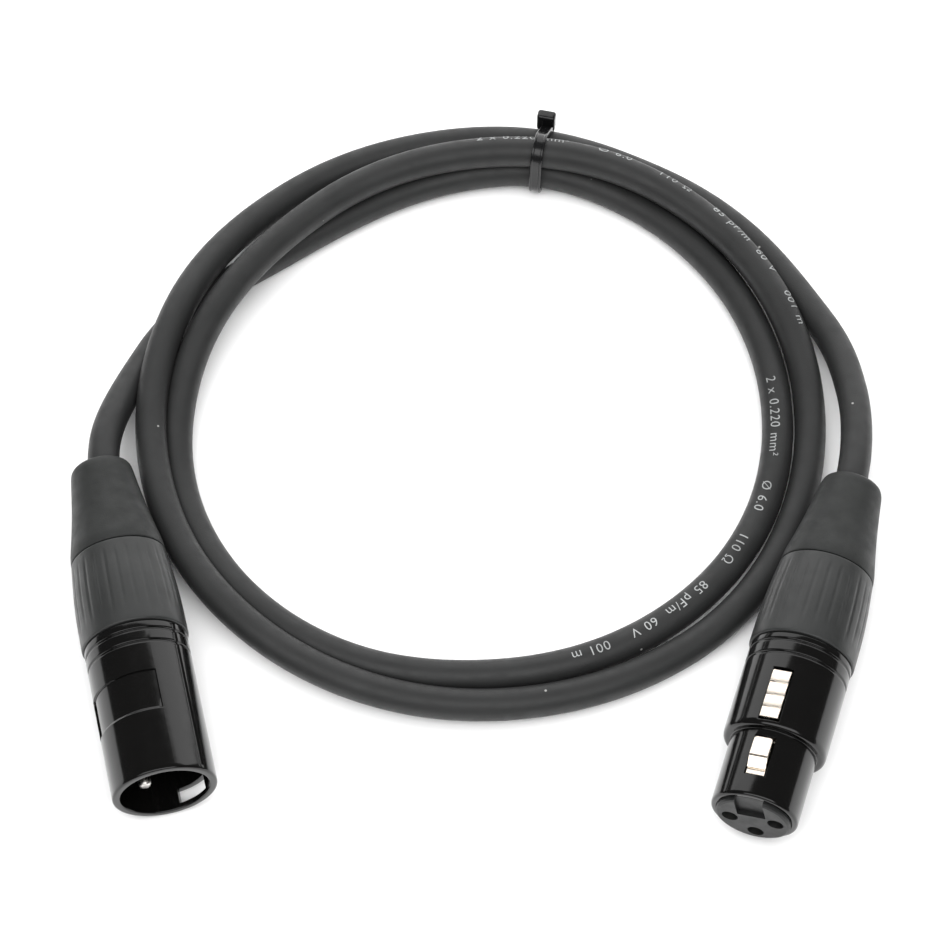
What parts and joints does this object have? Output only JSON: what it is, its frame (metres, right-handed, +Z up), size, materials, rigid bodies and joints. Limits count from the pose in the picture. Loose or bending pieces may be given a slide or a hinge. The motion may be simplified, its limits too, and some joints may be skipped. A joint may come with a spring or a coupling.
{
  "type": "coiled microphone cable",
  "caption": "Short black balanced audio lead coiled flat and tied, with a pin connector and a latching socket connector at its ends.",
  "frame": {"origin": "on the surface the coil lies on, below the middle of the box round the two connectors and the tie", "axes": "+Z up from the surface, +Y from the connectors' open ends across the coil to the tie, +X from the pin connector to the socket connector"},
  "size_m": [0.1514, 0.1571, 0.0199],
  "materials": {
    "shell": "gloss black",
    "insert": "moulded dark grey",
    "pins": "silver plated",
    "sockets": "gold plated",
    "latch": "bright nickel",
    "spring_steel": "satin",
    "chuck": "moulded",
    "collar": "satin dark grey",
    "boot": "matte",
    "jacket": "matte PVC",
    "tie": "black nylon",
    "core_red": "PVC",
    "core_white": "PVC",
    "core_shield": "tinned copper strands"
  },
  "bodies": {
    "lead": {"male_shell": "shell", "male_insert": "insert", "male_pin_1": "pins", "male_pin_2": "pins", "male_pin_3": "pins", "male_ground_contact": "spring_steel", "male_chuck": "chuck", "male_wire_hot": "core_red", "male_wire_cold": "core_white", "male_wire_shield": "core_shield", "female_shell": "shell", "female_insert": "insert", "female_contact_1": "sockets", "female_contact_2": "sockets", "female_contact_3": "sockets", "female_ground_contact": "spring_steel", "female_chuck": "chuck", "female_wire_hot": "core_red", "female_wire_cold": "core_white", "female_wire_shield": "core_shield", "latch_spring": "spring_steel", "cable_male_lead": "jacket", "cable_coil": "jacket", "cable_female_lead": "jacket", "cable_tie": "tie"},
    "male_boot": {"male_boot": "boot"},
    "male_collar": {"male_collar": "collar"},
    "female_boot": {"female_boot": "boot"},
    "female_collar": {"female_collar": "collar"},
    "latch": {"latch_lever": "latch"}
  },
  "joints": [
    {"name": "latch_press", "type": "hinge", "parent": "lead", "child": "latch", "pos_m": [0.04911, -0.0719, 0.01606], "axis": [-0.9324, 0.2958, -0.2079], "range_deg": [0, 7.5], "stiffness_Nm_per_rad": 0.6, "springref_deg": -6.88, "deforming": ["latch_spring"]},
    {"name": "male_boot_slide", "type": "slide", "parent": "lead", "child": "male_boot", "axis": [-0.2233, 0.9748, 0], "range_m": [0, 0.003]},
    {"name": "male_collar_turn", "type": "hinge", "parent": "male_boot", "child": "male_collar", "pos_m": [-0.06363, -0.03426, 0.00985], "axis": [-0.2233, 0.9748, 0], "range_deg": [0, 1080]},
    {"name": "female_boot_slide", "type": "slide", "parent": "lead", "child": "female_boot", "axis": [0.3024, 0.9532, 0], "range_m": [0, 0.003]},
    {"name": "female_collar_turn", "type": "hinge", "parent": "female_boot", "child": "female_collar", "pos_m": [0.0615, -0.03722, 0.00985], "axis": [0.3024, 0.9532, 0], "range_deg": [0, 1080]}
  ],
  "couplings": [
    {"joint": "male_boot_slide", "follows": "male_collar_turn", "m_per_rad": 0.000159},
    {"joint": "female_boot_slide", "follows": "female_collar_turn", "m_per_rad": 0.000159}
  ]
}
